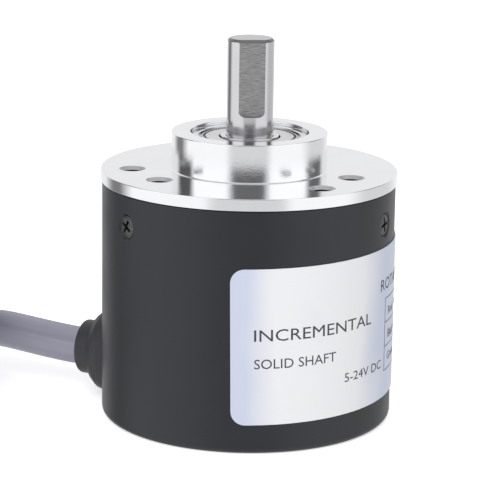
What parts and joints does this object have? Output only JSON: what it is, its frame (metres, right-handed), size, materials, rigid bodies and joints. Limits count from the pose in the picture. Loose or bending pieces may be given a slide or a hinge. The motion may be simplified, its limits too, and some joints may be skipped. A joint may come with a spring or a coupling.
{
  "type": "rotary encoder",
  "caption": "Incremental rotary encoder with a polished aluminium flange and boss, D-cut shaft in ball bearings, black cup cover and grey side cable folded in a tied hank.",
  "frame": {"origin": "centre of the cover's flat base, on the shaft's axis", "axes": "+Z along the shaft towards its free end; -Y is the side the shaft's flat faces, within a few degrees; the cable leaves towards -X"},
  "size_m": [0.1524, 0.0462, 0.0492],
  "materials": {
    "aluminium": "turned and polished",
    "ground_steel": "ground",
    "bearing_steel": "polished",
    "black_steel": "black oxide",
    "brass": "machined",
    "black_plastic": "fine matte",
    "black_rubber": "satin",
    "grey_jacket": "soft PVC",
    "label_film": "satin film",
    "board_green": "solder mask",
    "chip_black": "moulded epoxy",
    "clear_glass": "clear",
    "nylon_white": "natural nylon",
    "wire_red": "PVC",
    "wire_black": "PVC",
    "wire_green": "PVC",
    "wire_white": "PVC",
    "wire_yellow": "PVC"
  },
  "bodies": {
    "encoder_body": {"board_screw_1": "ground_steel", "board_screw_2": "ground_steel", "board_screw_3": "ground_steel", "cable_clamp": "nylon_white", "cable_end": "grey_jacket", "cable_grommet": "black_rubber", "cable_hank": "grey_jacket", "cable_lead": "grey_jacket", "cable_tie": "black_plastic", "capacitor_1": "aluminium", "capacitor_2": "aluminium", "circuit_board": "board_green", "cover_screw_1": "black_steel", "cover_screw_2": "black_steel", "cover_screw_3": "black_steel", "flange_housing": "aluminium", "front_bearing_outer_ring": "bearing_steel", "front_bearing_shield": "bearing_steel", "label": "label_film", "led_emitter": "clear_glass", "led_holder": "black_plastic", "led_holder_screw": "black_steel", "line_driver_chip": "chip_black", "mask_plate": "clear_glass", "rear_bearing_outer_ring": "bearing_steel", "rear_bearing_shield": "bearing_steel", "rear_cover": "black_plastic", "resistor_1": "chip_black", "resistor_2": "chip_black", "resistor_3": "chip_black", "sensor_chip": "chip_black", "standoff_1": "brass", "standoff_2": "brass", "standoff_3": "brass", "tail_black": "wire_black", "tail_green": "wire_green", "tail_red": "wire_red", "tail_white": "wire_white", "tail_yellow": "wire_yellow", "voltage_regulator": "chip_black", "wave_washer": "ground_steel", "wire_black": "wire_black", "wire_green": "wire_green", "wire_header": "nylon_white", "wire_red": "wire_red", "wire_white": "wire_white", "wire_yellow": "wire_yellow"},
    "rotor": {"shaft": "ground_steel", "front_bearing_inner_ring": "bearing_steel", "rear_bearing_inner_ring": "bearing_steel", "bearing_spacer": "ground_steel", "shaft_circlip": "black_steel", "disc_hub": "brass", "hub_set_screw": "black_steel", "code_disc": "ground_steel", "disc_clamp_ring": "brass"},
    "front_cage": {"front_bearing_cage": "brass"},
    "rear_cage": {"rear_bearing_cage": "brass"}
  },
  "joints": [
    {"name": "shaft_spin", "type": "hinge", "parent": "encoder_body", "child": "rotor", "pos_m": [0, 0, 0.0342], "axis": [0, 0, 1], "continuous": true},
    {"name": "front_cage_spin", "type": "hinge", "parent": "encoder_body", "child": "front_cage", "pos_m": [0, 0, 0.0342], "axis": [0, 0, 1], "continuous": true},
    {"name": "rear_cage_spin", "type": "hinge", "parent": "encoder_body", "child": "rear_cage", "pos_m": [0, 0, 0.02225], "axis": [0, 0, 1], "continuous": true}
  ],
  "couplings": [
    {"joint": "front_cage_spin", "follows": "shaft_spin", "ratio": 0.3667},
    {"joint": "rear_cage_spin", "follows": "shaft_spin", "ratio": 0.3667}
  ]
}
